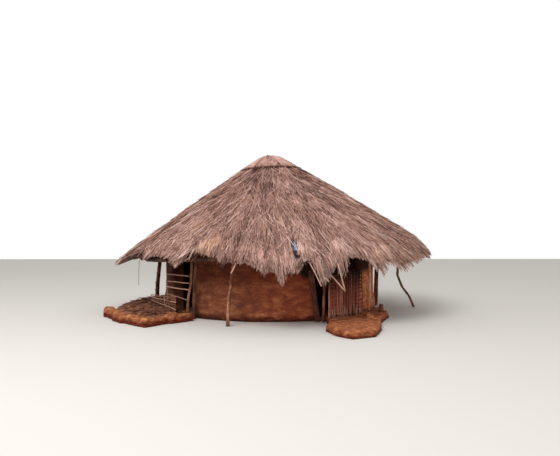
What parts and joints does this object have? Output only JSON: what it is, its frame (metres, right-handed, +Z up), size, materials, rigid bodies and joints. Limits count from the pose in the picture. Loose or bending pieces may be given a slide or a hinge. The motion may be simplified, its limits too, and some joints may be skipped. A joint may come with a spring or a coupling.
{
  "type": "round earth-walled hut with conical grass roof",
  "caption": "Round hut with beaten earth walls, a conical grass roof on crooked poles, a stick fence, a woven stick screen and raised earth stoops.",
  "frame": {"origin": "centre of the round wall, on the ground", "axes": "+Z up, -Y towards the front with both visible doorways, +X to the right seen from the front"},
  "size_m": [7.2321, 7.7798, 3.6206],
  "materials": {
    "earth_wall": "rough dried mud, cracked",
    "beaten_earth": "trodden dusty earth",
    "thatch": "weathered grey-brown grass straw",
    "weathered_wood": "dark weathered bark",
    "pale_wood": "pale dry peeled wood",
    "blue_plastic": "faded blue plastic",
    "bark_rope": "dark twisted bark rope"
  },
  "bodies": {
    "root": {"front_wall": "earth_wall", "right_wall": "earth_wall", "rear_right_wall": "earth_wall", "rear_wall": "earth_wall", "left_wall": "earth_wall", "left_door_head": "weathered_wood", "right_door_head": "weathered_wood", "earth_floor": "beaten_earth", "left_threshold": "beaten_earth", "right_threshold": "beaten_earth", "left_bank": "beaten_earth", "left_kerb": "beaten_earth", "right_step": "beaten_earth", "step_clods": "beaten_earth", "stump": "weathered_wood", "ring_beam": "weathered_wood", "eave_beam": "weathered_wood", "laths": "pale_wood", "crown_ring": "weathered_wood", "right_rafters": "pale_wood", "rear_rafters": "pale_wood", "left_rafters": "pale_wood", "front_rafters": "pale_wood", "eave_thatch": "thatch", "lower_thatch": "thatch", "upper_thatch": "thatch", "cap_thatch": "thatch", "cap_tie": "bark_rope", "front_left_post": "pale_wood", "front_right_post": "pale_wood", "left_post": "weathered_wood", "doorway_post": "weathered_wood", "doorway_prop": "pale_wood", "forked_post": "pale_wood", "right_post": "weathered_wood", "leaning_prop": "weathered_wood", "rear_post_1": "weathered_wood", "rear_post_2": "pale_wood", "rear_post_3": "weathered_wood", "rear_post_4": "pale_wood", "leaning_board": "weathered_wood", "stick_fence": "pale_wood", "door_rails": "pale_wood", "woven_screen": "pale_wood", "blue_strip": "blue_plastic"}
  },
  "joints": []
}
